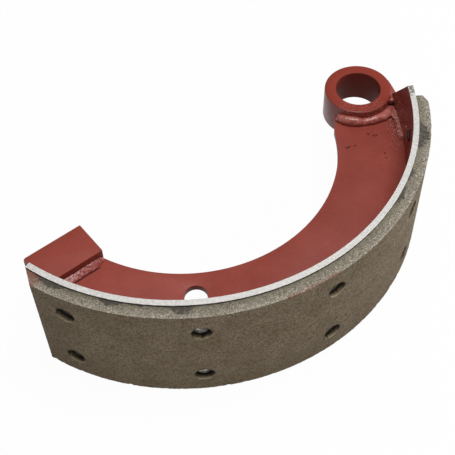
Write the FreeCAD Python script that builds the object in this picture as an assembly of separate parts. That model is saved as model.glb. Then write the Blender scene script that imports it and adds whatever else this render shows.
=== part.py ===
import FreeCAD, Part
import math
import os

# Brake shoe of a large drum brake: one web, a rolled table and a riveted lining.
# The origin is on the drum's axis at mid width. +Z is the drum's axis, and the
# lining faces -Y. The anchor end is towards +X and the cam end towards -X.
# Lengths are in millimetres, angles in degrees from +X.

# Drum, lining and table
drum_radius = 175.0
lining_thickness = 8.5
lining_width = 89.0
lining_end_setback = 8.7
lining_cam_scarf = 10.4
lining_bevel_depth = 3.3
lining_bevel_length = 6.5
table_thickness = 4.0
table_width = 92.0
table_cam_angle = -163.6
taper_length = 25.7

# Anchor boss
boss_axis_angle = -17.5
boss_diameter = 51.0
boss_bore = 34.0
boss_length = 26.5
boss_inset = 0.5
boss_root_gap = 1.0

# Web
web_thickness = 5.0
web_depth = 49.8
web_nose_offset = 24.7
web_nose_landing = 186.0
spring_hole_diameter = 16.0
spring_hole_inset = 31.5
spring_hole_angle = -124.3

# Cam block
block_face_y = -15.9
block_depth = 27.9
block_width = 24.0
block_table_gap = 5.9
block_outer_round = 2.5

# Rivets: columns run from the cam end to the anchor end
rivet_column_angles = [-152.6, -123.6, -93.2, -65.2, -42.2]
rivet_row_spacing = 51.0
rivet_shank = 6.4
rivet_head = 12.0
rivet_head_height = 1.6
rivet_tail = 9.6
rivet_tail_height = 1.8
recess_diameter = 12.6
recess_floor = 3.6
shank_clearance = 0.1

# Welds: legs of flat beads, and where the stitches on the table begin. A last stitch ends at the boss.
boss_weld_leg = 4.3
boss_weld_inset = 2.7
block_weld_leg = 4.8
block_weld_inset = 0.3
table_weld_leg = 3.2
table_weld_length = 31.2
table_weld_starts = [-160.5, -128.5, -84.5]
tack_reach = 6.0
tack_gap = 1.0
tack_drop = 0.4
end_weld_sink = 0.4

# Sizes that follow from the ones above
table_outer_radius = drum_radius - lining_thickness
table_inner_radius = table_outer_radius - table_thickness
boss_radius = boss_diameter / 2
boss_axis_radius = table_outer_radius - boss_radius - boss_inset
web_inner_radius = table_inner_radius - web_depth
web_nose_angle = boss_axis_angle - math.degrees(web_nose_offset / web_inner_radius)
web_top = web_thickness / 2
block_back_y = block_face_y - block_depth
block_inner_x = -math.sqrt(web_inner_radius ** 2 - block_back_y ** 2)
block_outer_x = -math.sqrt((table_inner_radius - block_table_gap) ** 2 - block_back_y ** 2)
rivet_rows = [rivet_row_spacing / 2, -rivet_row_spacing / 2]
tack_top = boss_length / 2 - tack_drop
tack_base = web_top + boss_weld_leg + tack_gap
table_weld_sweep = math.degrees(table_weld_length / table_inner_radius)


def crossing_angle(radius):
    """Where a circle round the boss's axis crosses the table's inside, on the web's side."""
    crossing = boss_axis_radius ** 2 + table_inner_radius ** 2 - radius ** 2
    spread = math.acos(crossing / (2 * boss_axis_radius * table_inner_radius))
    return boss_axis_angle - math.degrees(spread)


table_weld_starts.append(crossing_angle(boss_radius + boss_weld_leg) - table_weld_sweep)
table_anchor_angle = crossing_angle(boss_radius) - math.degrees(boss_root_gap / table_inner_radius)
taper_start_angle = table_anchor_angle - math.degrees(taper_length / table_inner_radius)
lining_anchor_angle = taper_start_angle - math.degrees(lining_end_setback / table_outer_radius)

ORIGIN = FreeCAD.Vector(0, 0, 0)
UP = FreeCAD.Vector(0, 0, 1)


def polar(radius, angle, z=0.0):
    turn = math.radians(angle)
    return FreeCAD.Vector(radius * math.cos(turn), radius * math.sin(turn), z)


def on_boss(radius, angle, z=0.0):
    return polar(boss_axis_radius, boss_axis_angle) + polar(radius, angle, z)


def line(start, end):
    return Part.LineSegment(start, end).toShape()


def arc(radius, start_angle, end_angle, z=0.0):
    middle = polar(radius, (start_angle + end_angle) / 2, z)
    return Part.Arc(polar(radius, start_angle, z), middle, polar(radius, end_angle, z)).toShape()


def prism(edges, height):
    return Part.Face(Part.Wire(edges)).extrude(UP * height)


def outline(points, height):
    return Part.Face(Part.makePolygon(points + points[:1])).extrude(UP * height)


def turned(points, angle, centre=ORIGIN):
    """Revolve a closed profile about a line parallel to the drum's axis."""
    return Part.Face(Part.makePolygon(points + points[:1])).revolve(centre, UP, angle)


def cylinder(radius, height, centre):
    return Part.makeCylinder(radius, height, centre, UP)


def mirrored(shape):
    return shape.mirror(ORIGIN, UP)


def boss_blank():
    return cylinder(boss_radius, boss_length, on_boss(0, 0, -boss_length / 2))


def shoe_table():
    """The rolled strip that carries the lining, its anchor end narrowed to the boss."""
    half = table_width / 2
    inner = table_inner_radius
    outer = table_outer_radius
    section = [(inner, -half), (outer, -half), (outer, half), (inner, half)]
    points = [polar(r, table_cam_angle, z) for r, z in section]
    strip = turned(points, table_anchor_angle - table_cam_angle)
    for side in (1, -1):
        strip = strip.cut(taper_cut(side))
    for angle in rivet_column_angles:
        for z in rivet_rows:
            strip = strip.cut(radial_hole(rivet_shank / 2 + shank_clearance, angle, z, 0, drum_radius))
    return strip


def taper_cut(side):
    """The corner taken off the strip's anchor end, cut square to its middle."""
    middle = (taper_start_angle + table_anchor_angle) / 2
    reach = table_inner_radius * math.sin(math.radians(table_anchor_angle - middle))
    out = polar(1, middle)
    along = polar(1, middle + 90)
    base = out * (table_inner_radius - table_width / 2)
    wide = base - along * reach + UP * side * (table_width / 2)
    narrow = base + along * reach + UP * side * (boss_length / 2)
    slope = narrow - wide
    corners = [wide - slope, narrow + slope, narrow + slope + UP * side * table_width]
    return Part.Face(Part.makePolygon(corners + corners[:1])).extrude(out * table_width)


def radial_hole(radius, angle, z, start, end):
    return Part.makeCylinder(radius, end - start, polar(start, angle, z), polar(1, angle))


def brake_lining():
    """The friction block: a long scarf at the cam end and a bevel at the anchor end."""
    inner = table_outer_radius
    bevel_radius = drum_radius - lining_bevel_depth
    cam_outer_angle = table_cam_angle + math.degrees(lining_cam_scarf / drum_radius)
    anchor_outer_angle = lining_anchor_angle - math.degrees(lining_bevel_length / drum_radius)
    base = -lining_width / 2
    edges = [
        arc(inner, table_cam_angle, lining_anchor_angle, base),
        line(polar(inner, lining_anchor_angle, base), polar(bevel_radius, lining_anchor_angle, base)),
        line(polar(bevel_radius, lining_anchor_angle, base), polar(drum_radius, anchor_outer_angle, base)),
        arc(drum_radius, anchor_outer_angle, cam_outer_angle, base),
        line(polar(drum_radius, cam_outer_angle, base), polar(inner, table_cam_angle, base)),
    ]
    block = prism(edges, lining_width)
    floor = inner + recess_floor
    for angle in rivet_column_angles:
        for z in rivet_rows:
            recess = radial_hole(recess_diameter / 2, angle, z, floor, drum_radius + lining_thickness)
            shank = radial_hole(rivet_shank / 2 + shank_clearance, angle, z, 0, drum_radius)
            block = block.cut(recess.fuse(shank))
    return block


def rivet(angle, z):
    """One rivet: flat head in the recess, tail spread inside the table."""
    head = rivet_head / 2
    shank = rivet_shank / 2
    tail = rivet_tail / 2
    head_seat = table_outer_radius + recess_floor
    head_top = head_seat + rivet_head_height
    tail_seat = math.sqrt(table_inner_radius ** 2 - tail ** 2)
    tail_end = tail_seat - rivet_tail_height
    steps = [
        (0, head_top), (head, head_top), (head, head_seat), (shank, head_seat),
        (shank, tail_seat), (tail, tail_seat), (tail, tail_end), (0, tail_end),
    ]
    out = polar(1, angle)
    points = [out * height + UP * (z + radius) for radius, height in steps]
    profile = Part.Face(Part.makePolygon(points + points[:1]))
    return profile.revolve(FreeCAD.Vector(0, 0, z), out, 360)


def lining_rivets():
    return Part.makeCompound([rivet(angle, z) for angle in rivet_column_angles for z in rivet_rows])


def web_plate():
    """The flat web: rim arc outside, open arc inside, coped round the boss."""
    base = -web_top
    cam_corner = FreeCAD.Vector(block_outer_x, block_back_y, base)
    cam_inner = FreeCAD.Vector(block_inner_x, block_back_y, base)
    cam_inner_angle = math.degrees(math.atan2(block_back_y, block_inner_x))
    nose = polar(web_inner_radius, web_nose_angle, base)
    boss_centre = on_boss(0, 0, base)
    table_corner = polar(table_inner_radius, table_anchor_angle, base)
    landing = on_boss(boss_radius, web_nose_landing, base)
    edges = [
        arc(web_inner_radius, cam_inner_angle, web_nose_angle, base),
        line(nose, landing),
        line(landing, boss_centre),
        line(boss_centre, table_corner),
        arc(table_inner_radius, table_anchor_angle, table_cam_angle, base),
        line(polar(table_inner_radius, table_cam_angle, base), cam_corner),
        line(cam_corner, cam_inner),
    ]
    plate = prism(edges, web_thickness)
    plate = plate.cut(boss_blank())
    hole_centre = polar(table_inner_radius - spring_hole_inset, spring_hole_angle, base)
    return plate.cut(cylinder(spring_hole_diameter / 2, web_thickness, hole_centre))


def anchor_boss():
    """The round boss with its pin bore."""
    return boss_blank().cut(cylinder(boss_bore / 2, boss_length, on_boss(0, 0, -boss_length / 2)))


def cam_block():
    """The solid block that the cam pushes on its flat +Y face, its outer end rounded."""
    base = -block_width / 2
    corners = [
        (block_inner_x, block_face_y), (block_inner_x, block_back_y),
        (block_outer_x, block_back_y), (block_outer_x, block_face_y),
    ]
    block = outline([FreeCAD.Vector(x, y, base) for x, y in corners], block_width)
    middle = block.CenterOfMass.x
    upright = [edge for edge in block.Edges if edge.tangentAt(edge.FirstParameter).cross(UP).Length == 0]
    return block.makeFillet(block_outer_round, [edge for edge in upright if edge.CenterOfMass.x < middle])


def boss_side_angle(point):
    """Where a point near the boss lies, seen from the boss's axis."""
    offset = point - on_boss(0, 0)
    return math.degrees(math.atan2(offset.y, offset.x)) % 360


def boss_weld():
    """The bead that runs round the boss on the web's upper side."""
    start_angle = web_nose_landing + math.degrees(boss_weld_inset / boss_radius)
    end_angle = boss_side_angle(polar(table_inner_radius, table_anchor_angle))
    points = [
        on_boss(boss_radius, start_angle, web_top),
        on_boss(boss_radius + boss_weld_leg, start_angle, web_top),
        on_boss(boss_radius, start_angle, web_top + boss_weld_leg),
    ]
    bead = turned(points, end_angle - start_angle, on_boss(0, 0))
    inside = cylinder(table_inner_radius, table_width, FreeCAD.Vector(0, 0, -table_width / 2))
    return bead.common(inside)


def corner_tack():
    """The small tack that closes the sharp corner of boss and table near their upper edges."""
    inner = table_inner_radius
    table_angle = table_anchor_angle - math.degrees(tack_reach / inner)
    meet_angle = boss_side_angle(polar(inner, table_anchor_angle))
    toe_angle = meet_angle - math.degrees(tack_reach / boss_radius)
    corners = [
        polar(inner, table_angle, tack_base),
        on_boss(boss_radius, toe_angle, tack_base),
        on_boss(boss_radius - table_thickness, meet_angle, tack_base),
        polar(table_outer_radius, table_anchor_angle, tack_base),
        polar(table_outer_radius, table_angle, tack_base),
    ]
    inside = cylinder(inner, table_width, FreeCAD.Vector(0, 0, -table_width / 2))
    return outline(corners, tack_top - tack_base).common(inside).cut(boss_blank())


def table_end_weld():
    """The groove weld outside, in the notch between the table's end and the boss."""
    low = table_inner_radius
    high = table_outer_radius - end_weld_sink
    section = [(low, -tack_top), (high, -tack_top), (high, tack_top), (low, tack_top)]
    points = [polar(r, table_anchor_angle, z) for r, z in section]
    return turned(points, boss_axis_angle - table_anchor_angle).cut(boss_blank())


def block_weld():
    """The straight bead along the block's back on the web's upper side."""
    start = block_outer_x + block_outer_round
    end = block_inner_x - block_weld_inset
    corner = FreeCAD.Vector(start, block_back_y, web_top)
    points = [corner, corner - FreeCAD.Vector(0, block_weld_leg, 0), corner + UP * block_weld_leg]
    return Part.Face(Part.makePolygon(points + points[:1])).extrude(FreeCAD.Vector(end - start, 0, 0))


def table_weld(start_angle):
    """One stitch between the web's upper side and the inside of the table, its toe line straight."""
    end_angle = start_angle + table_weld_sweep
    toe = polar(table_inner_radius - table_weld_leg, start_angle, web_top)
    toe_end = polar(table_inner_radius - table_weld_leg, end_angle, web_top)
    out = polar(1, (start_angle + end_angle) / 2)
    reach = table_weld_leg + table_thickness
    points = [toe, toe + out * reach, toe + (out + UP) * reach]
    bead = Part.Face(Part.makePolygon(points + points[:1])).extrude(toe_end - toe)
    inside = cylinder(table_inner_radius, table_width, FreeCAD.Vector(0, 0, -table_width / 2))
    return bead.common(inside).cut(boss_weld())


def all_parts():
    parts = {
        "web_plate": web_plate(),
        "shoe_table": shoe_table(),
        "anchor_boss": anchor_boss(),
        "cam_block": cam_block(),
        "brake_lining": brake_lining(),
        "lining_rivets": lining_rivets(),
        "table_end_weld": table_end_weld(),
    }
    upper = {"boss_weld": boss_weld(), "block_weld": block_weld(), "boss_table_weld": corner_tack()}
    for name, bead in upper.items():
        parts[name + "_top"] = bead
        parts[name + "_bottom"] = mirrored(bead)
    for number, start_angle in enumerate(table_weld_starts, 1):
        stitch = table_weld(start_angle)
        parts["table_weld_top_" + str(number)] = stitch
        parts["table_weld_bottom_" + str(number)] = mirrored(stitch)
    return parts


os.makedirs("parts", exist_ok=True)
for name, shape in all_parts().items():
    shape.exportStep("parts/" + name + ".step")
    print(name, "solids", len(shape.Solids), "volume", round(shape.Volume, 1), "valid", shape.isValid())
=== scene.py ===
# %% [markdown]
# # A drum-brake shoe, dressed cell by cell
# A brake shoe is a welded steel carrier with a block of friction material riveted to it.
# The carrier's sizes are fixed already, so this lesson only adds what a close look shows:
# ground and moulded friction material, set rivets, rippled weld beads, primer and bare steel.
# Everything is in metres, on the drum's own axis, with the lining towards -Y.

# %% Load the frame
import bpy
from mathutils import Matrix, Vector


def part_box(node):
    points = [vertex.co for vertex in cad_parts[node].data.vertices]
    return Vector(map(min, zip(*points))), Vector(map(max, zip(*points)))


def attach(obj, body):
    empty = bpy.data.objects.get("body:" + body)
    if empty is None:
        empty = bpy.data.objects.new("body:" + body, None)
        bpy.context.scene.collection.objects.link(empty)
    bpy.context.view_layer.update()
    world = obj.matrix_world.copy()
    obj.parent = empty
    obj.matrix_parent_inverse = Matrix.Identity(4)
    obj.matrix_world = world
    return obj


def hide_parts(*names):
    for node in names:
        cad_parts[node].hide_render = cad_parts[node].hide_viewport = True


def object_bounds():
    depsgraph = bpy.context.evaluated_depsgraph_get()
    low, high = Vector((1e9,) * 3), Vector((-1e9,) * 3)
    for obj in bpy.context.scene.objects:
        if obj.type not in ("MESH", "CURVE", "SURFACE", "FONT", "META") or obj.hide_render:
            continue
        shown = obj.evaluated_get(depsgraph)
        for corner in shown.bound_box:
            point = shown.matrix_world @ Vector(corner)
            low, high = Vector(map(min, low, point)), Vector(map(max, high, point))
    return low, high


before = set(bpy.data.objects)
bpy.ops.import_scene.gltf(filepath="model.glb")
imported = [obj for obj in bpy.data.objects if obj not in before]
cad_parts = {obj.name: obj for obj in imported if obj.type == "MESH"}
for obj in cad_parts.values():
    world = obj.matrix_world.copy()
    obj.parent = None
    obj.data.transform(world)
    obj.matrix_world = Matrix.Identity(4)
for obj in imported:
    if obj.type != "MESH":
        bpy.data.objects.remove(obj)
cad_low, cad_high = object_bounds()
print("frame nodes:", len(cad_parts))

# %% Modules, units and the random seed
import math
import random
from types import SimpleNamespace

import bmesh
import bpy
from mathutils import Matrix, Vector, noise

MM = 0.001
UP = Vector((0, 0, 1))
random.seed(7)

# %% [markdown]
# ## Measuring before modelling
# A new piece has to sit exactly where the steel is, so its radii and angles are read off the
# frame and never typed again. All round work is measured about the drum's axis.

# %% Polar helpers and a measuring function
def polar(radius, angle, z=0.0):
    turn = math.radians(angle)
    return Vector((radius * math.cos(turn), radius * math.sin(turn), z))


def bearing(spot):
    return math.degrees(math.atan2(spot.y, spot.x))


def spots_of(node):
    return [v.co.copy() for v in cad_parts[node].data.vertices]


def measured(node):
    spots = spots_of(node)
    radii = [spot.xy.length for spot in spots]
    angles = [bearing(spot) for spot in spots]
    return SimpleNamespace(inner=min(radii), outer=max(radii), start=min(angles),
                           end=max(angles), half=max(spot.z for spot in spots))


lining = measured("brake_lining")
table = measured("shoe_table")
web = measured("web_plate")
print("lining radius mm", round(lining.outer / MM, 2), "from", round(lining.start, 1),
      "to", round(lining.end, 1), "degrees")

# %% Where the boss, the block and the rivets stand
boss_low, boss_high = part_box("anchor_boss")
boss_centre = (boss_low + boss_high) / 2
boss_radius = (boss_high.x - boss_low.x) / 2
boss_half = (boss_high.z - boss_low.z) / 2
bore_radius = min((spot - boss_centre).xy.length for spot in spots_of("anchor_boss"))
block_low, block_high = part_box("cam_block")
# Degrees that part one column of rivets from the next
COLUMN_GAP = 5


def rivet_columns():
    """The rivets' bearings: their corners fall into groups with wide gaps between them."""
    angles = sorted(bearing(spot) for spot in spots_of("lining_rivets"))
    groups = [[angles[0]]]
    for angle in angles[1:]:
        if angle - groups[-1][-1] > COLUMN_GAP:
            groups.append([])
        groups[-1].append(angle)
    return [(group[0] + group[-1]) / 2 for group in groups]


columns = rivet_columns()
rivet_spots = spots_of("lining_rivets")
row_z = (max(spot.z for spot in rivet_spots) + min(s.z for s in rivet_spots if s.z > 0)) / 2
print("rivet columns", [round(angle, 1) for angle in columns], "rows at mm", round(row_z / MM, 1))

# %% How wide and deep the rivets' recesses are
def off_axis(spot, angle):
    """Distance of a spot from the upper or lower rivet axis at this bearing."""
    out = polar(1, angle)
    if spot.dot(out) < 0:
        return math.inf
    return math.hypot(spot.dot(UP.cross(out)), abs(spot.z) - row_z)


def recess_size(reach=10 * MM):
    out = polar(1, columns[0])
    rim = [(off_axis(spot, columns[0]), spot.dot(out)) for spot in spots_of("brake_lining")]
    rim = [(gap, height) for gap, height in rim if gap < reach and height > lining.inner]
    widest = max(gap for gap, _ in rim)
    return widest, min(height for gap, height in rim if gap > widest - 0.2 * MM)


recess_radius, recess_floor = recess_size()
first_column = [spot for spot in rivet_spots if abs(bearing(spot) - columns[0]) < COLUMN_GAP]
head_radius = max(off_axis(spot, columns[0]) for spot in first_column)
print("recess radius mm", round(recess_radius / MM, 2),
      "head radius mm", round(head_radius / MM, 2))

# %% [markdown]
# ## Colour and node helpers
# Colours are noted as the eye reads them, 0 to 255, and turned into linear light for the
# shader. Each finish below is a small node tree on Object coordinates, so its grain has the
# same size in millimetres on every piece.

# %% Helpers for colours and nodes
def shade(red, green, blue):
    values = []
    for part in (red, green, blue):
        part = part / 255
        values.append(part / 12.92 if part <= 0.04045 else ((part + 0.055) / 1.055) ** 2.4)
    return (*values, 1.0)


class Finish:
    """A material with short calls for the nodes that the finishes here are made of."""

    def __init__(self, name):
        self.material = bpy.data.materials.new(name)
        self.material.use_nodes = True
        self.tree = self.material.node_tree
        self.shader = self.tree.nodes["Principled BSDF"]
        self.place = self.add("ShaderNodeTexCoord").outputs["Object"]

    def feed(self, socket, value):
        if isinstance(value, bpy.types.NodeSocket):
            self.tree.links.new(value, socket)
        else:
            socket.default_value = value

    def add(self, kind, inputs=(), **settings):
        node = self.tree.nodes.new(kind)
        for key, value in settings.items():
            setattr(node, key, value)
        for key, value in dict(inputs).items():
            self.feed(node.inputs[key], value)
        return node

    def noise(self, size, detail=3.0, rough=0.55, place=None):
        """Cloudy noise whose blobs are about size metres across, from 0 to 1."""
        inputs = {"Vector": place or self.place, "Scale": 1 / size, "Detail": detail,
                  "Roughness": rough}
        return self.add("ShaderNodeTexNoise", inputs).outputs["Fac"]

    def cells(self, size, output="Distance"):
        inputs = {"Vector": self.place, "Scale": 1 / size}
        return self.add("ShaderNodeTexVoronoi", inputs).outputs[output]

    def math(self, operation, a, b=0.0):
        return self.add("ShaderNodeMath", {0: a, 1: b}, operation=operation).outputs[0]

    def vector(self, operation, a, b=(0, 0, 0), output="Vector"):
        node = self.add("ShaderNodeVectorMath", {0: a, 1: b}, operation=operation)
        return node.outputs[output]

    def span(self, value, low, high, to_low=0.0, to_high=1.0):
        inputs = {"Value": value, "From Min": low, "From Max": high,
                  "To Min": to_low, "To Max": to_high}
        return self.add("ShaderNodeMapRange", inputs).outputs["Result"]

    def patches(self, size, low, high, detail=3.0, rough=0.55, to=(0.0, 1.0)):
        """Noise with more contrast: what lies from low to high is spread over the range to."""
        return self.span(self.noise(size, detail, rough), low, high, *to)

    def mix(self, factor, a, b):
        return self.add("ShaderNodeMix", {0: factor, 6: a, 7: b}, data_type="RGBA").outputs[2]

    def over(self, colour, tone, *masks):
        """Lay a tone over a colour, as strongly as all its masks multiplied say."""
        strength = masks[0]
        for mask in masks[1:]:
            strength = self.math("MULTIPLY", strength, mask)
        return self.mix(strength, colour, tone)

    def attribute(self, name):
        return self.add("ShaderNodeAttribute", attribute_name=name).outputs["Fac"]

    def along(self, axis):
        return self.add("ShaderNodeSeparateXYZ", {0: self.place}).outputs[axis]

    def height(self):
        """Distance from the shoe's middle plane, upwards and downwards alike."""
        return self.math("ABSOLUTE", self.along("Z"))

    def radius(self, centre=(0, 0, 0)):
        """Distance from the upright axis through a centre, which is the drum's own at first."""
        flat = self.vector("MULTIPLY", self.vector("SUBTRACT", self.place, centre), (1, 1, 0))
        return self.vector("LENGTH", flat, output="Value")

    def near(self, spot, reach, ragged):
        """From 1 at a spot to 0 at its reach, with an edge as ragged as noise of that size."""
        gap = self.vector("DISTANCE", self.place, spot, "Value")
        wander = self.patches(ragged, 0.3, 0.7, to=(-0.5 * reach, 0.5 * reach))
        return self.span(self.math("ADD", gap, wander), 0.75 * reach, reach, 1.0, 0.0)

    def set(self, **values):
        for key, value in values.items():
            self.feed(self.shader.inputs[key.replace("_", " ")], value)

    def bump(self, *layers):
        """Stack bumps, each a height pattern and the depth in metres that it stands for."""
        below = {}
        for pattern, depth in layers:
            inputs = {"Height": pattern, "Distance": depth, "Strength": 1.0, **below}
            below = {"Normal": self.add("ShaderNodeBump", inputs).outputs["Normal"]}
        self.set(**below)


# %% [markdown]
# ## Red-oxide primer
# The carrier is sprayed after welding. The coat is thin, so the steel's grain shows through as
# a soft mottle, and it dries with a slight sheen; where it went on wet it is darker and more
# even. In pocked places it sinks into small pits, drawn with a bump and painted shade, and beside
# a weld it catches dust and dries pale and rough; the same pale specks on the boss's near rim are
# partly a painted highlight. One function makes the primer of every piece, and is told where
# these are.

# %% Primer finish
primer_mid = shade(148, 66, 54)
primer_deep = shade(134, 54, 42)
primer_dusty = shade(160, 82, 72)
primer_shadow = shade(54, 20, 16)
primer_pale = shade(186, 116, 108)
bare_grey = shade(104, 98, 90)


def primer_finish(name, wet=0.0, dust_and_highlight=(), pits=(), shadows=(), raw_end=None, shiny=None):
    """Primer for one piece. Places of dust and painted highlight, and pits, which get painted
    shade, are (spot, reach) pairs, and shadows are (mask function, share) pairs of painted shade.
    The steel shows where x is less than raw_end, and past the shiny radius about the boss the coat
    ran and dried glossy."""
    finish = Finish(name)
    colour = finish.mix(finish.patches(30 * MM, 0.35, 0.65, 5.0), primer_deep, primer_mid)
    grain = finish.patches(1.2 * MM, 0.3, 0.7, 4.0, 0.7)
    colour = finish.over(colour, primer_dusty, grain, 0.45 * (1 - wet))
    colour = finish.over(colour, primer_deep, wet)
    layers = [(finish.noise(8 * MM), 0.30 * MM), (finish.noise(0.9 * MM, rough=0.7), 0.12 * MM)]
    # Pale specks: weld dust on the web, and a painted highlight along the boss's near rim
    for spot, reach in dust_and_highlight:
        speck = finish.patches(1.1 * MM, 0.54, 0.62, 2.0, 0.6)
        speck = finish.math("MULTIPLY", speck, finish.near(spot, reach, 4 * MM))
        colour = finish.over(colour, primer_pale, speck, 0.6)
        layers.append((speck, 0.12 * MM))
    # Painted shade in the pits, with a bump for their dents
    if pits:
        shaded_hollow = 0.0
        for spot, reach in pits:
            shaded_hollow = finish.math("MAXIMUM", finish.near(spot, reach, 0.9 * MM), shaded_hollow)
        colour = finish.over(colour, primer_shadow, shaded_hollow, 0.65)
        layers.append((finish.math("SUBTRACT", 1.0, shaded_hollow), 0.4 * MM))
    for mask, share in shadows:
        colour = finish.over(colour, primer_shadow, mask(finish), share)
    if raw_end is not None:
        ragged = finish.patches(2.0 * MM, 0.3, 0.7, to=(-0.6 * MM, 0.6 * MM))
        raw = finish.math("LESS_THAN", finish.math("ADD", finish.along("X"), ragged), raw_end)
        colour = finish.over(colour, bare_grey, raw, 0.8)
    if shiny is None:
        rough, sheen = finish.patches(9 * MM, 0.3, 0.7, 4.0, to=(0.40, 0.58)), 0.3
    else:
        side = finish.math("GREATER_THAN", finish.radius(boss_centre), shiny)
        rough, sheen = finish.span(side, 0, 1, 0.5, 0.3), finish.span(side, 0, 1, 0.12, 0.38)
    finish.set(Base_Color=colour, Roughness=rough, Metallic=0.0, IOR=1.5,
               Specular_IOR_Level=sheen)
    finish.bump(*layers)
    return finish.material


# %% [markdown]
# Three places of the carrier get painted shade: the bore, the block's side that faces the lining,
# and a gap along the block's bead. Each is a mask, worked out from the measured sizes, so it
# needs no drawing on the mesh.

# %% Painted shade in the primer
# Painted shade in the bore
def in_bore(finish):
    return finish.math("LESS_THAN", finish.radius(boss_centre), bore_radius + 0.3 * MM)


def block_side(finish):
    """Painted shade on the block's side towards the lining, below its broken edge."""
    beside = finish.math("LESS_THAN", finish.along("Y"), block_low.y + 0.3 * MM)
    upper = block_high.z - 1.2 * MM
    below = finish.span(finish.height(), upper, upper + 0.7 * MM, 1.0, 0.0)
    return finish.math("MULTIPLY", beside, below)


def bead_gap(finish):
    """A dark gap of painted shadow along the toe of the block's bead, on the later part of its run.
    """
    low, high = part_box("block_weld_top")
    wander = finish.patches(2.0 * MM, 0.3, 0.7, to=(-0.35 * MM, 0.35 * MM))
    off = finish.math("SUBTRACT", finish.along("Y"), low.y + 0.1 * MM)
    off = finish.math("ABSOLUTE", finish.math("ADD", off, wander))
    line = finish.span(off, 0.5 * MM, 0.9 * MM, 1.0, 0.0)
    share = finish.span(finish.along("X"), low.x, high.x)
    begun = finish.span(share, 0.3, 0.42)
    going = finish.span(share, 0.82, 0.9, 1.0, 0.0)
    return finish.math("MULTIPLY", line, finish.math("MULTIPLY", begun, going))


# %% Primer for web, boss and block
web_top = web.half
# Pits in the web's upper side, as (x, y, reach) in mm
pit_spots = [
    (114.7, -74.9, 1.1), (117.1, -78.9, 0.9), (118.9, -79.6, 0.8), (99.2, -77.2, 0.8),
    (93.3, -74.9, 1.2), (95.2, -75.6, 0.8), (111.2, -96.8, 0.9), (108.9, -100.6, 0.7),
]
web_pits = [(Vector((x * MM, y * MM, web_top)), reach * MM) for x, y, reach in pit_spots]
weld_dust = [(polar(table.inner - 3 * MM, angle, web_top), reach * MM)
             for angle, reach in ((-28, 7), (-32, 8), (-36, 7))]
# Pale specks along the ring's near edge, partly dust and partly a painted highlight
boss_dust_and_highlight = [(boss_centre + polar(boss_radius - 3 * MM, angle, boss_half), 9 * MM)
             for angle in (-150, -122, -95)]
primer_web = primer_finish("red_primer_on_web", dust_and_highlight=weld_dust, pits=web_pits,
                           shadows=[(bead_gap, 0.85)])
primer_boss = primer_finish("red_primer_on_boss", wet=0.75, dust_and_highlight=boss_dust_and_highlight,
                            shadows=[(in_bore, 0.36)], shiny=boss_radius - 0.9 * MM)
primer_block = primer_finish("red_primer_on_block", wet=0.35, shadows=[(block_side, 0.36)],
                             raw_end=block_low.x + 1.0 * MM)
print("primer ready, pits in the web:", len(web_pits))

# %% [markdown]
# ## Bare steel on the table's edges
# The table's edges are ground clean after spraying, so they are bright. One material does all
# of it: height above the middle decides where the steel is bare, and noise makes the paint line
# ragged. The back is dark where the lining covers it, and painted beyond the lining's end. Weld
# dust lies on the inside wall near the boss, and grime has settled at the corner above it.

# %% Table finish: primer with bare edges
steel_dull = shade(182, 179, 174)
steel_bright = shade(232, 230, 227)
steel_grime = shade(112, 104, 92)
covered_steel = shade(52, 46, 40)
upper_end = max(bearing(spot) for spot in spots_of("shoe_table")
                if spot.z > table.half - 0.1 * MM)


def table_paint(finish):
    paint = finish.mix(finish.patches(24 * MM, 0.35, 0.65, 5.0), primer_deep, primer_mid)
    inside = finish.math("LESS_THAN", finish.radius(), table.inner + 0.5 * MM)
    for angle, height in ((-27, 20), (-30, 14), (-33, 22), (-37, 20)):
        speck = finish.patches(1.1 * MM, 0.52, 0.6, 3.0, 0.7)
        beside = finish.near(polar(table.inner, angle, height * MM), 12 * MM, 4 * MM)
        paint = finish.over(paint, primer_pale, speck, beside, inside, 0.7)
    turn = finish.math("ARCTAN2", finish.along("Y"), finish.along("X"))
    covered = finish.math("LESS_THAN", turn, math.radians(lining.end + 0.4))
    back = finish.math("GREATER_THAN", finish.radius(), table.outer - 0.2 * MM)
    return finish.over(paint, covered_steel, back, covered)


def table_finish(name, edge):
    finish = Finish(name)
    paint = table_paint(finish)
    stretched = {"Vector": finish.place, "Scale": (1, 1, 0.2)}
    scratch = finish.add("ShaderNodeMapping", stretched).outputs[0]
    tone = finish.span(finish.noise(1.8 * MM, 5.0, 0.75, scratch), 0.25, 0.75)
    steel = finish.mix(tone, steel_dull, steel_bright)
    corner = finish.near(polar(table.outer, upper_end, edge), 10 * MM, 2.4 * MM)
    blotch = finish.patches(1.6 * MM, 0.4, 0.55, 4.0, 0.7)
    steel = finish.over(steel, steel_grime, corner, blotch)
    ragged = finish.patches(2.5 * MM, 0.3, 0.7, 4.0, to=(-0.35 * MM, 0.25 * MM))
    height = finish.math("ADD", finish.height(), ragged)
    bare = finish.math("GREATER_THAN", height, edge - 0.45 * MM)
    finish.set(Base_Color=finish.mix(bare, paint, steel), IOR=1.5, Specular_IOR_Level=0.3,
               Metallic=finish.math("MULTIPLY", bare, 0.2),
               Roughness=finish.span(bare, 0, 1, 0.45, 0.55))
    finish.bump((finish.noise(6 * MM), 0.3 * MM), (finish.noise(0.7 * MM, 4.0, 0.7), 0.08 * MM))
    return finish.material


table_steel = table_finish("primer_and_bare_edge", table.half)

# %% [markdown]
# ## Friction material
# The lining is pressed from resin, fibre and metal chips. Its rubbing face is ground to a dull
# olive brown, darker towards its lower edge as painted shade. The sides are ground too, which lays
# the chips open; their glints are painted into the colour, most along the outer rim, and low spots
# that the wheel missed keep the smooth dark moulded skin. Skin, stray primer and the recesses'
# painted light and shade are attributes on the mesh, set further on, and noise cuts the skin's
# edge into a ragged line.

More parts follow.
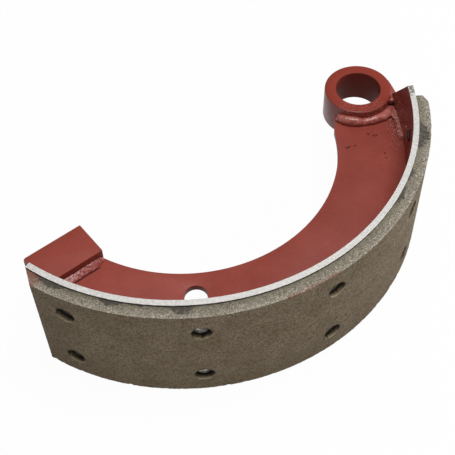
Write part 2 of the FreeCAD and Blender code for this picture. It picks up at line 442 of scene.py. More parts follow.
# %% The rubbing face and the ground sides
face_brown, face_pale = shade(124, 109, 87), shade(146, 131, 110)
face_blot, face_dark = shade(104, 89, 66), shade(76, 64, 48)
face_painted_shade, chip_tan = shade(92, 79, 58), shade(180, 162, 130)
side_inner, side_outer = shade(112, 106, 90), shade(150, 142, 128)
side_dark, side_painted_glint = shade(92, 84, 68), shade(206, 198, 184)


def ground_face(finish, fine, blot, half):
    face = finish.mix(finish.patches(17 * MM, 0.3, 0.7, 4.0), face_brown, face_pale)
    face = finish.over(face, face_blot, finish.span(blot, 0.5, 0.62))
    face = finish.over(face, face_dark, finish.span(fine, 0.5, 0.62))
    chips = finish.span(finish.cells(1.9 * MM), 0.05, 0.25, 1.0, 0.0)
    crowd = finish.patches(6 * MM, 0.45, 0.6, 2.0, to=(0.25, 0.95))
    face = finish.over(face, chip_tan, chips, crowd)
    # Painted shade: the face grows darker towards its lower edge
    low_painted_shade = finish.span(finish.along("Z"), -0.2 * half, -half, 0.0, 0.35)
    return finish.over(face, face_painted_shade, low_painted_shade)


def ground_side(finish, fine):
    across = finish.span(finish.radius(), lining.inner, lining.outer)
    side = finish.mix(across, side_inner, side_outer)
    # Painted glints of the chips, most along the outer rim
    painted_glint = finish.span(finish.cells(0.75 * MM, "Color"), 0.5, 0.85)
    side = finish.over(side, side_painted_glint, painted_glint, finish.span(across, 0.0, 0.9, 0.15, 0.8))
    return finish.over(side, side_dark, finish.span(fine, 0.46, 0.62))


# %% Friction finish: face, sides, moulded skin and painted light and shade in the recesses
skin_dark, skin_pale = shade(58, 55, 51), shade(86, 81, 74)
overspray_red = shade(136, 72, 58)
painted_rim_light, painted_recess_shade = shade(186, 168, 138), shade(26, 22, 17)


def friction_finish(name, half):
    finish = Finish(name)
    fine = finish.noise(0.9 * MM, 4.0, 0.75)
    blot = finish.noise(2.2 * MM, 4.0, 0.7)
    on_side = finish.math("GREATER_THAN", finish.height(), half - 0.45 * MM)
    face = ground_face(finish, fine, blot, half)
    colour = finish.mix(on_side, face, ground_side(finish, fine))

    torn = finish.patches(2.8 * MM, 0.3, 0.7, 4.0, 0.65, to=(-1.7, 1.5))
    skin = finish.span(finish.math("ADD", finish.attribute("moulded"), torn), -0.25, 0.35)
    skin_tone = finish.mix(finish.span(fine, 0.3, 0.7), skin_dark, skin_pale)
    broken = finish.span(blot, 0.5, 0.62, 1.0, 0.4)
    colour = finish.over(colour, skin_tone, skin, broken, on_side)
    colour = finish.over(colour, overspray_red, finish.attribute("overspray"),
                         finish.span(blot, 0.35, 0.6))
    # Painted light on the recesses' lower rims, painted shade at their bottoms
    recess_light_shade = finish.attribute("recess_light_shade")
    colour = finish.over(colour, painted_rim_light, finish.span(recess_light_shade, 0.0, 0.7, 0.0, 0.8))
    colour = finish.over(colour, painted_recess_shade, finish.span(recess_light_shade, 0.0, -0.6, 0.0, 0.9))
    finish.set(Base_Color=colour, Roughness=finish.span(fine, 0.3, 0.7, 0.75, 0.95),
               Metallic=0.0, Specular_IOR_Level=0.3)
    finish.bump((finish.noise(1.6 * MM, 4.0, 0.7), 0.30 * MM), (finish.cells(0.7 * MM), 0.10 * MM))
    return finish.material


friction = friction_finish("friction_material", lining.half)

# %% [markdown]
# ## Rivet metal and weld metal
# The rivets are dark, dull steel, and on the second column a painted highlight lies on the
# crowns. Their tails inside the table are painted over, in the dark tone of painted shade. The
# beads lie under the same primer, which flows glossy over them: thick and pale on most, the pale
# tone partly a painted highlight, thin and dark red on the flat ones, and full of weld dust
# beside the boss.

# %% Rivet finish
rivet_dark, rivet_grey, rivet_painted_highlight = shade(34, 31, 27), shade(84, 79, 72), shade(178, 174, 166)


def rivet_finish(name):
    finish = Finish(name)
    tone = finish.mix(finish.patches(2.2 * MM, 0.35, 0.65, 4.0), rivet_dark, rivet_grey)
    # Tails painted over with primer, in the dark tone of painted shade
    tail = finish.math("LESS_THAN", finish.radius(), table.outer)
    tone = finish.over(tone, primer_shadow, tail, 0.8)
    # Painted highlight on the crowns of the second column
    crown = finish.span(finish.radius(), recess_floor + 1.3 * MM, recess_floor + 1.55 * MM)
    second = finish.near(polar(lining.outer, columns[1]), 38 * MM, 5 * MM)
    uneven = finish.patches(2.4 * MM, 0.42, 0.58, 2.0, to=(0.1, 1.0))
    tone = finish.over(tone, rivet_painted_highlight, crown, second, uneven)
    finish.set(Base_Color=tone, Metallic=0.45, Roughness=0.34)
    finish.bump((finish.noise(0.8 * MM), 0.08 * MM))
    return finish.material


rivet_metal = rivet_finish("rivet_steel")

# %% Bead finishes
# The pale tone is partly a painted highlight on the beads
pale_highlight_tones = shade(148, 68, 58), shade(188, 114, 104)
thin_tones = shade(130, 54, 44), shade(156, 78, 68)
painted_hollow_shadow = shade(40, 14, 12)


def bead_finish(name, pale_share, tones=pale_highlight_tones, shaded_hollow=None):
    """Primer on weld metal. Below the height of shaded_hollow it is darkened with painted shadow,
    for the gap under a tack.
    """
    finish = Finish(name)
    colour = finish.mix(finish.patches(4 * MM, 0.35, 0.65, 4.0), *tones)
    speck = finish.patches(1.3 * MM, 0.46, 0.6, 3.0, 0.7)
    colour = finish.over(colour, primer_pale, speck, pale_share)
    # Painted shadow in the gap under the tack
    if shaded_hollow is not None:
        below = finish.span(finish.height(), shaded_hollow - 1.0 * MM, shaded_hollow, 0.9, 0.0)
        colour = finish.over(colour, painted_hollow_shadow, below)
    finish.set(Base_Color=colour, Roughness=0.32 + 0.3 * pale_share, Metallic=0.0, IOR=1.5,
               Specular_IOR_Level=0.7)
    finish.bump((finish.noise(2.2 * MM), (0.15 + 0.3 * pale_share) * MM))
    return finish.material


tack_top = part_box("boss_table_weld_top")[1].z
bead_paint = bead_finish("primer_on_weld", 0.1)
flat_bead_paint = bead_finish("thin_primer_on_weld", 0.04, thin_tones)
tack_paint = bead_finish("primer_on_tack", 0.1, shaded_hollow=tack_top - 1.8 * MM)
rough_bead_paint = bead_finish("dusty_primer_on_weld", 0.8)
print("materials so far", len(bpy.data.materials))

# %% [markdown]
# ## From bmesh to a finished piece
# Every new piece goes through the same door: normals out, one mesh, one material, smooth
# shading with sharp edges kept, and then it rides on the frame's one body.

# %% Finishing helpers
def mesh_from(name, bm):
    """A mesh made from a bmesh, which is used up."""
    mesh = bpy.data.meshes.new(name)
    bm.to_mesh(mesh)
    bm.free()
    return mesh


def linked(name, data):
    """A new object in the scene that shows this mesh, lamp or camera."""
    new = bpy.data.objects.new(name, data)
    bpy.context.scene.collection.objects.link(new)
    return new


def finish_piece(name, bm, material, nodes=(), sharp=60):
    """A bmesh as an object of the scene. Edges that turn by more than sharp degrees stay crisp."""
    bmesh.ops.recalc_face_normals(bm, faces=bm.faces)
    mesh = mesh_from(name, bm)
    mesh.materials.append(material)
    mesh.shade_smooth()
    mesh.set_sharp_from_angle(angle=math.radians(sharp))
    piece = linked(name, mesh)
    if nodes:
        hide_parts(*nodes)
    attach(piece, "root")
    print(name, "faces", len(mesh.polygons))
    return piece


def close_holes(bm):
    rim = [edge for edge in bm.edges if edge.is_boundary]
    bmesh.ops.holes_fill(bm, edges=rim, sides=0)


def bevelled(bm, geometry, width, segments, affect="EDGES", clamp=False):
    bmesh.ops.bevel(bm, geom=geometry, offset=width, offset_type="OFFSET", affect=affect,
                    segments=segments, profile=0.5, material=-1, clamp_overlap=clamp)


def flat_section(width, height):
    """A rectangle about the origin, for sections that are spun."""
    bm = bmesh.new()
    bmesh.ops.create_grid(bm, x_segments=1, y_segments=1, size=0.5)
    bmesh.ops.scale(bm, vec=(width, height, 1), verts=bm.verts)
    return bm


def stand_up(bm):
    """Turn a section that is drawn flat upright, so that it can be spun about the Z axis."""
    quarter = Matrix.Rotation(math.pi / 2, 3, "X")
    bmesh.ops.rotate(bm, cent=(0, 0, 0), matrix=quarter, verts=bm.verts)


def full_turn(bm, steps):
    bmesh.ops.spin(bm, geom=bm.verts[:] + bm.edges[:], cent=(0, 0, 0), axis=UP,
                   angle=2 * math.pi, steps=steps, use_merge=True)


def carve(solid, tool):
    """Solid minus tool, by a Boolean modifier that is applied at once. Both bmeshes are used up."""
    blanks = []
    for bm in (solid, tool):
        bmesh.ops.recalc_face_normals(bm, faces=bm.faces)
        blanks.append(linked("blank", mesh_from("blank", bm)))
    cut = blanks[0].modifiers.new("cut", "BOOLEAN")
    cut.operation = "DIFFERENCE"
    cut.solver = "EXACT"
    cut.object = blanks[1]
    graph = bpy.context.evaluated_depsgraph_get()
    result = bmesh.new()
    result.from_mesh(bpy.data.meshes.new_from_object(blanks[0].evaluated_get(graph)))
    for blank in blanks:
        bpy.data.objects.remove(blank)
    return result


# %% [markdown]
# ## The lining
# It could be an Array of boxes bent along a curve, but a spin says what it is: one flat
# section swept about the drum's axis. The section's sides are subdivided first, so the swept
# skin is fine enough to be roughened like pressed grit. The slanted end and the small lead-in
# bevel are planes through the swept block, as a grinder would make them.

# %% Sweep the lining and cut its ends
LINING_STEPS = 380
WIDTH_CUTS = 58
DEPTH_CUTS = 7


def cut_end(bm, inside, corner, along):
    """Cut by the upright plane through corner and along, and drop the side away from inside."""
    normal = (along - corner).cross(UP).normalized()
    if normal.dot(inside - corner) > 0:
        normal = -normal
    geometry = bm.verts[:] + bm.edges[:] + bm.faces[:]
    bmesh.ops.bisect_plane(bm, geom=geometry, plane_co=corner, plane_no=normal, clear_outer=True)
    close_holes(bm)


def lining_blank():
    thickness = lining.outer - lining.inner
    bm = flat_section(thickness, 2 * lining.half)
    bmesh.ops.delete(bm, geom=bm.faces[:], context="FACES_ONLY")
    long_edges = [e for e in bm.edges if abs(e.verts[0].co.y - e.verts[1].co.y) > thickness]
    short_edges = [e for e in bm.edges if e not in long_edges]
    bmesh.ops.subdivide_edges(bm, edges=long_edges, cuts=WIDTH_CUTS)
    bmesh.ops.subdivide_edges(bm, edges=short_edges, cuts=DEPTH_CUTS)
    stand_up(bm)
    bmesh.ops.translate(bm, vec=((lining.outer + lining.inner) / 2, 0, 0), verts=bm.verts)
    spare = 0.5
    start = Matrix.Rotation(math.radians(lining.start - spare), 3, "Z")
    bmesh.ops.rotate(bm, cent=(0, 0, 0), matrix=start, verts=bm.verts)
    sweep = math.radians(lining.end - lining.start + 2 * spare)
    bmesh.ops.spin(bm, geom=bm.verts[:] + bm.edges[:], cent=(0, 0, 0), axis=UP,
                   angle=sweep, steps=LINING_STEPS)
    close_holes(bm)
    return bm


def end_marks():
    """Bearings of the rubbing face's two ends, and the radius where the end bevel begins."""
    spots = spots_of("brake_lining")
    rubbing = [bearing(s) for s in spots if s.xy.length > lining.outer - 0.05 * MM]
    last = [s.xy.length for s in spots if bearing(s) > lining.end - 0.05]
    return min(rubbing), max(rubbing), max(last)


face_start, face_end, bevel_radius = end_marks()
blank = lining_blank()
middle = polar(lining.outer, (lining.start + lining.end) / 2)
cut_end(blank, middle, polar(lining.inner, lining.start), polar(lining.outer, face_start))
cut_end(blank, middle, polar(lining.inner, lining.end), polar(lining.outer, lining.end))
cut_end(blank, middle, polar(bevel_radius, lining.end), polar(lining.outer, face_end))
print("lining blank faces", len(blank.faces),
      "face from", round(face_start, 1), "to", round(face_end, 1))

# %% [markdown]
# Each rivet sits at the bottom of a counterbore. Ten cutters are made in one bmesh and taken
# away together, which is quicker than ten Booleans. A real drill also breaks grit out of the
# rim of the hole, so the rims are roughened afterwards with the rest.

# %% Drill the lining
def radial(angle, radius, z):
    """Turns work on the Z axis so that it points outwards at this bearing."""
    turn = Matrix.Rotation(math.radians(angle), 4, "Z") @ Matrix.Rotation(math.pi / 2, 4, "Y")
    return Matrix.Translation(polar(radius, angle, z)) @ turn


rivet_places = [(angle, z) for angle in columns for z in (row_z, -row_z)]


def drill(radius, floor, top, segments=40):
    bm = bmesh.new()
    for angle, z in rivet_places:
        bmesh.ops.create_cone(bm, cap_ends=True, segments=segments, radius1=radius, radius2=radius,
                              depth=top - floor, matrix=radial(angle, (floor + top) / 2, z))
    return bm


drilled = carve(blank, drill(recess_radius, recess_floor, lining.outer + 5 * MM))
print("drilled lining faces", len(drilled.faces))

# %% [markdown]
# Vertices are pushed about by noise to give pressed grit, with small bites out of the long
# edges and the rims of the recesses. Three attributes mark where the finish changes: moulded
# skin, as a depth in millimetres, stray primer, and the recesses, where painted shade fills the
# bottom and, but for the last columns, painted light lies on the lower rim. They live on the
# mesh, so they stay in place.

# %% Roughen the lining
# How far the grit rises, and how deep the bites in edges and rims go
GRIT = 0.15 * MM
BITE = 0.8 * MM
RIM_BITE = 1.3 * MM


def grit(spot, size):
    return noise.noise(spot / size)


def nearest_rivet(spot):
    return min(off_axis(spot, angle) for angle in columns)


def roughen(bm):
    bm.normal_update()
    for v in bm.verts:
        radius = v.co.xy.length
        if radius < lining.inner + 0.3 * MM:
            continue
        push = GRIT * (grit(v.co, 1.7 * MM) + 0.6 * grit(v.co, 0.7 * MM))
        at_face = radius > lining.outer - 0.5 * MM
        in_edge = at_face and abs(v.co.z) > lining.half - 0.2 * MM
        in_rim = at_face and abs(nearest_rivet(v.co) - recess_radius) < 0.6 * MM
        bite = 0.0
        if in_edge:
            bite = BITE * max(0.0, grit(v.co, 3.1 * MM) - 0.15)
        if in_rim:
            bite = RIM_BITE * max(0.0, grit(v.co, 2.3 * MM) - 0.05)
        v.co += v.normal * (push - GRIT * 0.8 - bite)


roughen(drilled)
lining_piece = finish_piece("friction_lining", drilled, friction, ["brake_lining"], 50)

# %% Mark skin, stray primer and the recesses' painted light and shade
# Low spots on the upper side, as (first bearing, last bearing, reach from the inner edge in mm)
moulded_spots = [
    (-161.0, -152.6, 4.2), (-153.0, -150.0, 1.2), (-145.6, -139.8, 3.8),
    (-138.8, -134.2, 1.2), (-133.6, -129.8, 1.1), (-130.2, -124.2, 5.6),
    (-71.0, -64.0, 2.6), (-63.0, -58.5, 2.2), (-52.4, -43.4, 7.6),
]
# Degrees by which the lower side's spots lie further on, and the depth that means no skin
LOWER_TURN = 17
GROUND = -4.0
# Bearings where stray primer begins at the end, and between which it lies on the rim
END_SPRAY = -158.4
RIM_SPRAY = -105.5, -93.0


def skin_depth(spot):
    """Depth of moulded skin in mm, below 0 where it is ground away."""
    reach_in = (spot.xy.length - lining.inner) / MM
    angle = bearing(spot) if spot.z >= 0 else bearing(spot) - LOWER_TURN
    depth = GROUND
    for first, last, reach in moulded_spots:
        share = (angle - first) / (last - first)
        if 0 < share < 1:
            depth = max(depth, reach * math.sin(math.pi * share) ** 0.8 - reach_in)
    return depth


def stray_primer(spot):
    """Primer on the upper side's end beside the block, and on a stretch of its outer rim."""
    if spot.z <= lining.half - 0.7 * MM:
        return 0.0
    angle = bearing(spot)
    if spot.xy.length - lining.inner > 7.3 * MM and RIM_SPRAY[0] < angle < RIM_SPRAY[1]:
        return 0.6
    return max(0.0, min(0.85, (END_SPRAY - angle) / 1.6))


def recess_dust(spot):
    """From 1 for painted light on a recess's lower rim to -1 for painted shade at its bottom."""
    if nearest_rivet(spot) > recess_radius + 0.5 * MM:
        return 0.0
    if spot.xy.length < recess_floor + 0.5 * MM:
        return -1.0
    below = (math.copysign(row_z, spot.z) - spot.z) / recess_radius
    # Painted light on the lower rim only up to the third column
    pale_share = bearing(spot) < (columns[2] + columns[3]) / 2
    return max(-0.6, min(1.6 * below - 0.6, 1.0 if pale_share else 0.0))


for name, measure in (("moulded", skin_depth), ("overspray", stray_primer), ("recess_light_shade", recess_dust)):
    mark = lining_piece.data.attributes.new(name, "FLOAT", "POINT")
    for index, vertex in enumerate(lining_piece.data.vertices):
        mark.data[index].value = measure(vertex.co)
print("marked vertices", len(lining_piece.data.vertices))

# %% [markdown]
# ## The rivets
# A semi-tubular rivet is turned work: a flat domed head, a shank and a tail that is rolled
# over like a tiny volcano inside the table. One half section is spun once, and the finished
# rivet is stamped at every hole.

# %% One rivet, spun and stamped
tail_radius = 4.8 * MM
shank_radius = 3.2 * MM
tube_radius = 1.8 * MM


def rivet_profile():
    """Half section as (radius, height), where height is the distance from the drum's axis."""
    seat = recess_floor
    tail_seat = math.sqrt(table.inner ** 2 - tail_radius ** 2)
    return [
        (0, seat + 1.5 * MM), (head_radius * 0.55, seat + 1.6 * MM),
        (head_radius * 0.85, seat + 1.25 * MM), (head_radius, seat + 0.5 * MM),
        (head_radius, seat), (shank_radius, seat), (shank_radius, tail_seat),
        (tail_radius, tail_seat), (tail_radius * 0.97, tail_seat - 0.7 * MM),
        (tail_radius * 0.78, tail_seat - 1.5 * MM), (tail_radius * 0.6, tail_seat - 1.7 * MM),
        (tube_radius * 1.15, tail_seat - 1.2 * MM), (tube_radius, tail_seat - 0.4 * MM),
        (tube_radius, tail_seat + 3.0 * MM), (0, tail_seat + 3.0 * MM),
    ]


def one_rivet():
    bm = bmesh.new()
    profile = [bm.verts.new((radius, 0, height)) for radius, height in rivet_profile()]
    for pair in zip(profile, profile[1:]):
        bm.edges.new(pair)
    full_turn(bm, 28)
    bmesh.ops.remove_doubles(bm, verts=bm.verts, dist=0.005 * MM)
    return bm


def stamped(bm, places):
    """Copies of a bmesh, one at each place. The bmesh is used up."""
    pattern = mesh_from("pattern", bm)
    copies = bmesh.new()
    for place in places:
        done = len(copies.verts)
        copies.from_mesh(pattern)
        bmesh.ops.transform(copies, matrix=place, verts=copies.verts[done:])
    bpy.data.meshes.remove(pattern)
    return copies


rivet_turns = [radial(angle, 0, z) for angle, z in rivet_places]
finish_piece("set_rivets", stamped(one_rivet(), rivet_turns), rivet_metal, ["lining_rivets"],
             40)

# %% [markdown]
# ## The web
# The web's outline is right already, but a pressed plate has a rolled-over edge, not a knife
# edge. A copy of the plate's mesh is welded together, its flat faces are made whole, and every
# sharp edge is bevelled.

# %% Web with rolled edges
def merged_copy(node):
    bm = bmesh.new()
    bm.from_mesh(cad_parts[node].data)
    bmesh.ops.remove_doubles(bm, verts=bm.verts, dist=0.01 * MM)
    return bm


def softened(node, width, segments=3, sharp=30):
    """A copy of a frame node with merged corners, whole flat faces and bevelled sharp edges."""
    bm = merged_copy(node)
    bmesh.ops.dissolve_limit(bm, angle_limit=math.radians(0.5), verts=bm.verts, edges=bm.edges)
    edges = [edge for edge in bm.edges
             if len(edge.link_faces) == 2 and edge.calc_face_angle(0) > math.radians(sharp)]
    bevelled(bm, edges, width, segments, clamp=True)
    return bm


finish_piece("web", softened("web_plate", 0.7 * MM), primer_web, ["web_plate"], 40)

# %% [markdown]
# ## The anchor boss
# A boss is turned from bar, so it is a spin again: one section whose corners are only just
# broken, taken all the way round.

# %% Boss
OUTER_BREAK = 1.0 * MM
BORE_BREAK = 0.4 * MM


def boss():
    wall = boss_radius - bore_radius
    bm = flat_section(wall, 2 * boss_half)
    for side, rounding in ((1, OUTER_BREAK), (-1, BORE_BREAK)):
        corners = [v for v in bm.verts if side * v.co.x > wall / 4]
        bevelled(bm, corners, rounding, 3, "VERTICES")
    bmesh.ops.delete(bm, geom=bm.faces[:], context="FACES_ONLY")
    stand_up(bm)
    bmesh.ops.translate(bm, vec=((boss_radius + bore_radius) / 2, 0, 0), verts=bm.verts)
    full_turn(bm, 128)
    bmesh.ops.translate(bm, vec=boss_centre, verts=bm.verts)
    bmesh.ops.remove_doubles(bm, verts=bm.verts, dist=0.005 * MM)
    return bm


finish_piece("boss", boss(), primer_boss, ["anchor_boss"])

# %% [markdown]
# ## The cam block
# A sawn length of bar: a cube is scaled to the measured box, its outer upright edges are
# rounded more than the rest, and then all edges get a small break.

# %% Block
CORNER_ROUND = 2.5 * MM
EDGE_BREAK = 0.6 * MM


def cam_block():
    bm = bmesh.new()
    bmesh.ops.create_cube(bm, size=1)
    bmesh.ops.scale(bm, vec=block_high - block_low, verts=bm.verts)
    bmesh.ops.translate(bm, vec=(block_high + block_low) / 2, verts=bm.verts)
    middle_x = (block_high.x + block_low.x) / 2
    upright = [e for e in bm.edges if abs(e.verts[0].co.z - e.verts[1].co.z) > MM]
    bevelled(bm, [e for e in upright if e.verts[0].co.x < middle_x], CORNER_ROUND, 6)
    sharp = [e for e in bm.edges if e.calc_face_angle(0) > math.radians(40)]
    bevelled(bm, sharp, EDGE_BREAK, 3)
    return bm


finish_piece("block", cam_block(), primer_block, ["cam_block"], 50)

# %% [markdown]
# ## Weld beads
# A bead is a round of metal laid into a corner in small overlapping puddles. Its section is a
# half circle sunk into the corner with a crown on top, high for a bead that stands proud and
# low for one that has wetted out flat. The section is swept along the corner, and then every
# ring is swelled or pinched from the corner outwards: a short ripple for each puddle, slow
# lumps from an unsteady hand, and round ends.

# %% The bead's section and how it swells
# Lengths of one ripple, lump and knob, of the rounded end, and between two rings
RIPPLE = 2.1 * MM
LUMP = 13 * MM
KNOB = 1.3 * MM
RUN_OUT = 2.0 * MM
RING_STEP = 0.45 * MM


def bead_section(leg, crown, across):
    bm = bmesh.new()
    bmesh.ops.create_circle(bm, segments=20, radius=leg * math.sqrt(0.5))
    bmesh.ops.scale(bm, vec=(crown, 1, 1), verts=[v for v in bm.verts if v.co.x > 0.001 * MM])
    out = (across + UP).normalized()
    rise = (UP - across).normalized()
    stand = Matrix((out, rise, out.cross(rise))).transposed()
    bmesh.ops.rotate(bm, cent=(0, 0, 0), matrix=stand, verts=bm.verts)
    bmesh.ops.translate(bm, vec=(across + UP) * leg / 2, verts=bm.verts)
    return bm


def between(values, share):
    """Value at a share of the way along an evenly spaced list, eased from one to the next."""
    place = max(0.0, min(0.9999, share)) * (len(values) - 1)
    index = int(place)
    ease = (1 - math.cos(math.pi * (place - index))) / 2
    return values[index] * (1 - ease) + values[index + 1] * ease


def swell(travel, length, seed, lumpy):
    nearest = max(0.0, min(travel, length - travel))
    run_out = min(1.0, nearest / RUN_OUT)
    rounding = max(0.25, math.sqrt(1 - (1 - run_out) ** 2))
    ripple = abs(math.sin(math.pi * travel / RIPPLE))
    lump = noise.noise(Vector((travel / LUMP, seed, 0.5)))
    return rounding * (0.98 + 0.02 * ripple + lumpy * lump)


# %% Sweeping a bead
def place_on_path(spot, corner, across, hub, sweep, length):
    """Travel along the bead, the corner there and the way across there."""
    if isinstance(sweep, Vector):
        travel = (spot - corner).dot(sweep.normalized())
        return travel, corner + sweep.normalized() * travel, across
    arm = (corner - hub).xy
    turn = abs(arm.angle_signed((spot - hub).xy))
    spin = Matrix.Rotation(math.copysign(turn, sweep), 3, "Z")
    return turn * length / abs(sweep), hub + spin @ (corner - hub), spin @ across


def sweep_bead(leg, crown, corner, across, hub, sweep, seed, lumpy,
               widths=(1, 1), talls=(1, 1), rough=0.0):
    """Bead in the corner between across and up, swept about hub by an angle or straight along
    a vector. Widths and talls scale its section, evenly spaced along the run."""
    straight = isinstance(sweep, Vector)
    length = sweep.length if straight else abs(sweep) * (corner - hub).xy.length
    bm = bead_section(leg, crown, across)
    bmesh.ops.translate(bm, vec=corner, verts=bm.verts)
    steps = max(16, round(length / RING_STEP))
    bmesh.ops.spin(bm, geom=bm.verts[:] + bm.edges[:], cent=hub, axis=UP, steps=steps,
                   angle=0 if straight else sweep, dvec=sweep / steps if straight else (0, 0, 0))
    for v in bm.verts:
        travel, middle, beside = place_on_path(v.co, corner, across, hub, sweep, length)
        off = v.co - middle
        lean = max(0.0, off.normalized().dot((beside + UP).normalized()))
        size = swell(travel + (1 - lean) * RIPPLE * 0.5, length, seed, lumpy)
        size *= 1 + rough * noise.noise(v.co / KNOB)
        wide = off.dot(beside) * between(widths, travel / length)
        tall = off.dot(UP) * between(talls, travel / length)
        v.co = middle + (beside * wide + UP * tall) * size
    close_holes(bm)
    return bm


def both_sides(name, bm, upper, material=bead_paint):
    """The bead on the web's upper side, and its mirror on the lower side."""
    other = bm.copy()
    bmesh.ops.scale(other, vec=(1, 1, -1), verts=other.verts)
    lower = upper.replace("top", "bottom")
    finish_piece(name + "_upper", bm, material, [upper])
    finish_piece(name + "_lower", other, material, [lower])


def bead_span(node, hub):
    """First and last bearing of a weld node about a hub."""
    angles = [bearing(spot - hub) % 360 for spot in spots_of(node)]
    return min(angles), max(angles)


# %% [markdown]
# The bead round the boss grows wider and flatter towards the table, and stops inside it. The
# block's bead is nearly flat. The stitches between web and table are short and round, and the
# one beside the boss is the roughest.

# %% The bead round the boss
# How far a bead's corner lies inside the boss or the block
SUNK = 0.5 * MM
boss_first, boss_last = bead_span("boss_weld_top", boss_centre)
boss_bead = sweep_bead(
    leg=4.3 * MM, crown=0.95, corner=boss_centre + polar(boss_radius - SUNK, boss_first, web_top),
    across=polar(1, boss_first), hub=boss_centre, sweep=math.radians(boss_last - boss_first),
    seed=3.0, lumpy=0.12, widths=(1.0, 1.12, 1.05, 0.9, 1.0, 1.3, 1.5, 1.7),
    talls=(1.0, 1.2, 1.2, 0.9, 1.05, 0.95, 0.8, 0.6))
table_middle = (table.inner + table.outer) / 2
for v in boss_bead.verts:
    # No part of the bead goes further out than the middle of the table
    v.co.xy *= min(1.0, table_middle / v.co.xy.length)
both_sides("boss_bead", boss_bead, "boss_weld_top")

# %% The bead along the block
# How far its corner lies above the web
LAP = 0.5 * MM
origin = Vector((0, 0, 0))
bead_low, bead_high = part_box("block_weld_top")
block_bead = sweep_bead(
    leg=bead_high.y - bead_low.y, crown=0.08,
    corner=Vector((bead_low.x, bead_high.y + SUNK, web_top + LAP)), across=Vector((0, -1, 0)),
    hub=origin, sweep=Vector((bead_high.x - bead_low.x, 0, 0)), seed=8.0, lumpy=0.12,
    widths=(0.9, 1.0, 1.0, 0.9, 0.95, 0.7), talls=(0.6, 0.62, 0.55, 0.6, 0.65, 0.55), rough=0.1)
both_sides("block_bead", block_bead, "block_weld_top", flat_bead_paint)

# %% The stitches between web and table
STITCHES = 4
for number in range(1, STITCHES + 1):
    upper = "table_weld_top_" + str(number)
    first, last = bead_span(upper, origin)
    at_boss = number == STITCHES
    stitch = sweep_bead(
        leg=3.3 * MM, crown=0.8, corner=polar(table.inner, first, web_top),
        across=-polar(1, first), hub=origin, sweep=math.radians(last - first),
        seed=11.0 + number, lumpy=0.3, rough=0.35 if at_boss else 0.1)
    both_sides("table_bead_" + str(number), stitch, upper,
               rough_bead_paint if at_boss else bead_paint)

# %% [markdown]
# ## Tacks, and the bead that keeps its solid
# A tack fills the small notch between boss and table. Its solid has the right reach, so a copy
# of it is melted: cut fine, smoothed till it is round and stretched back to its own box. The
# table and the hidden bead at its narrow end keep their solids, and only get their finishes.

# %% Melting a copy of a solid
def melted(node, rounds=14):
    bm = merged_copy(node)
    for _ in range(2):
        bmesh.ops.subdivide_edges(bm, edges=bm.edges[:], cuts=2, use_grid_fill=True)
        bmesh.ops.triangulate(bm, faces=bm.faces[:])
    for _ in range(rounds):
        bmesh.ops.smooth_vert(bm, verts=bm.verts, factor=0.5,
                              use_axis_x=True, use_axis_y=True, use_axis_z=True)
    low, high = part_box(node)
    for axis in range(3):
        values = [v.co[axis] for v in bm.verts]
        stretch = (high[axis] - low[axis]) / (max(values) - min(values))
        shift = min(values)
        for v in bm.verts:
            v.co[axis] = low[axis] + (v.co[axis] - shift) * stretch
    return bm


# %% Tacks, and the finishes on the frame's own nodes
for side, node in (("upper", "boss_table_weld_top"), ("lower", "boss_table_weld_bottom")):
    finish_piece("corner_tack_" + side, melted(node), tack_paint, [node])
for node, coat in (("shoe_table", table_steel), ("table_end_weld", flat_bead_paint)):
    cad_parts[node].data.materials.clear()
    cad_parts[node].data.materials.append(coat)
    print(node, "keeps its solid, finish", coat.name)

# %% [markdown]
# ## Spatter
# Arc welding throws droplets that freeze where they land. They lie thickest beside the beads,
# and the primer covers them. Each is a flattened icosphere, sunk a little into its surface.

# %% Spatter beside the boss
DROPLETS = 110
ON_WEB_SHARE = 0.6
# Bearings between which the droplets lie, and of the big one on the table's inside
SPATTER_START, SPATTER_MIDDLE, SPATTER_END = -41.0, -32.0, -25.5
BIG_DROPLET = -36.8


def droplet(bm, spot, normal, size):
    tilt = UP.rotation_difference(normal).to_matrix().to_4x4()
    flat = Matrix.Diagonal((size, size * 0.85, size * 0.55, 1))
    bmesh.ops.create_icosphere(bm, subdivisions=2, radius=1,
                               matrix=Matrix.Translation(spot) @ tilt @ flat)


def spatter():
    bm = bmesh.new()
    for _ in range(DROPLETS):
        angle = max(SPATTER_START, min(SPATTER_END, random.gauss(SPATTER_MIDDLE, 3.4)))
        size = random.uniform(0.25, 0.7) * MM
        if random.random() < ON_WEB_SHARE:
            radius = table.inner - abs(random.gauss(0, 5)) * MM - 1.5 * MM
            if (polar(radius, angle) - boss_centre).xy.length > boss_radius + 4 * MM:
                droplet(bm, polar(radius, angle, web_top), UP, size)
        else:
            height = web_top + random.uniform(2, 20) * MM
            droplet(bm, polar(table.inner, angle, height), -polar(1, angle), size)
    wall_spot = polar(table.inner, BIG_DROPLET, 18 * MM)
    droplet(bm, wall_spot, -polar(1, BIG_DROPLET), 1.5 * MM)
    return bm


finish_piece("weld_spatter", spatter(), rough_bead_paint)

# %% [markdown]
# ## Floor, light and camera
# A parts catalogue shows its pieces on pure white. The floor itself is a plain grey that
# throws back little light, and only the camera, mirrors and glass see it glow white. Most of
# the light comes from straight above, some from the right, and a little from the front.

# %% Floor
FLOOR_REACH = 6
FLOOR_TONE = 0.32
WHITE_SHARE = 0.92
GLOW = 1.05
floor_bm = bmesh.new()
bmesh.ops.create_grid(floor_bm, x_segments=1, y_segments=1, size=FLOOR_REACH)
bmesh.ops.translate(floor_bm, vec=(0, 0, cad_low.z), verts=floor_bm.verts)
floor = linked("floor", mesh_from("floor", floor_bm))

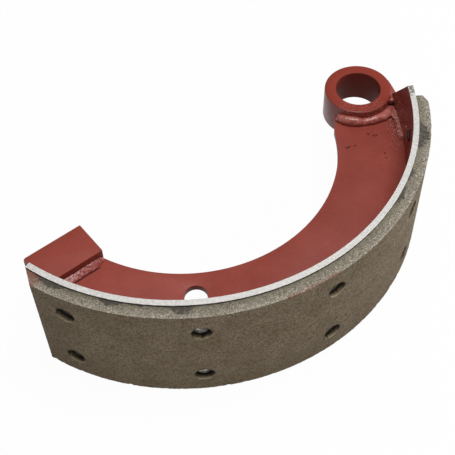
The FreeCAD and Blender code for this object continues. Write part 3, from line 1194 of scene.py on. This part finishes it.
floor_finish = Finish("pale_floor")
floor_finish.set(Base_Color=(FLOOR_TONE, FLOOR_TONE, FLOOR_TONE, 1), Roughness=0.9,
                 Specular_IOR_Level=0.0)
rays = floor_finish.add("ShaderNodeLightPath").outputs
seen = floor_finish.math("ADD", rays["Is Camera Ray"], rays["Is Glossy Ray"])
seen = floor_finish.math("MAXIMUM", seen, rays["Is Transmission Ray"])
seen = floor_finish.math("MULTIPLY", seen, WHITE_SHARE)
white = floor_finish.add("ShaderNodeEmission", {"Strength": GLOW}).outputs[0]
shaders = {0: seen, 1: floor_finish.shader.outputs[0], 2: white}
blend = floor_finish.add("ShaderNodeMixShader", shaders).outputs[0]
surface = floor_finish.tree.nodes["Material Output"].inputs["Surface"]
floor_finish.tree.links.new(blend, surface)
floor.data.materials.append(floor_finish.material)
print("floor at mm", round(cad_low.z / MM, 1))

# %% World and lamps
WORLD_LIGHT = 0.17
scene = bpy.context.scene
scene.world = bpy.data.worlds.new("studio")
scene.world.use_nodes = True
background = scene.world.node_tree.nodes["Background"]
background.inputs["Color"].default_value = (1, 1, 1, 1)
background.inputs["Strength"].default_value = WORLD_LIGHT


def softbox(name, place, aim, width, height, power):
    lamp = bpy.data.lights.new(name, "AREA")
    lamp.shape = "RECTANGLE"
    lamp.size = width
    lamp.size_y = height
    lamp.energy = power
    box = linked(name, lamp)
    box.location = place
    box.rotation_euler = (Vector(aim) - Vector(place)).to_track_quat("-Z", "Y").to_euler()
    print(name, "watts", power)


softbox("top_light", (0.1, -0.2, 1.5), (0, -0.08, 0), 0.8, 0.8, 18.4)
softbox("right_light", (1.22, -0.44, 0.36), (0.05, -0.1, 0), 0.8, 0.7, 9.8)
softbox("front_fill", (-0.6, -1.2, 0.13), (0, -0.1, 0), 1.2, 0.3, 4.3)

# %% Camera
camera_place = Vector((-274.1, -410.3, 548.1)) * MM
camera_aim = Vector((0.3668, 0.4850, -0.7939))
camera_roll = math.radians(1.86)
camera_data = bpy.data.cameras.new("camera")
camera_data.sensor_width = 36
camera_data.lens = 77.7
camera_data.clip_start = 0.01
camera = linked("camera", camera_data)
camera.location = camera_place
level = camera_aim.to_track_quat("-Z", "Y").to_matrix()
camera.rotation_euler = (level @ Matrix.Rotation(-camera_roll, 3, "Z")).to_euler()
scene.camera = camera
scene.view_settings.view_transform = "Standard"
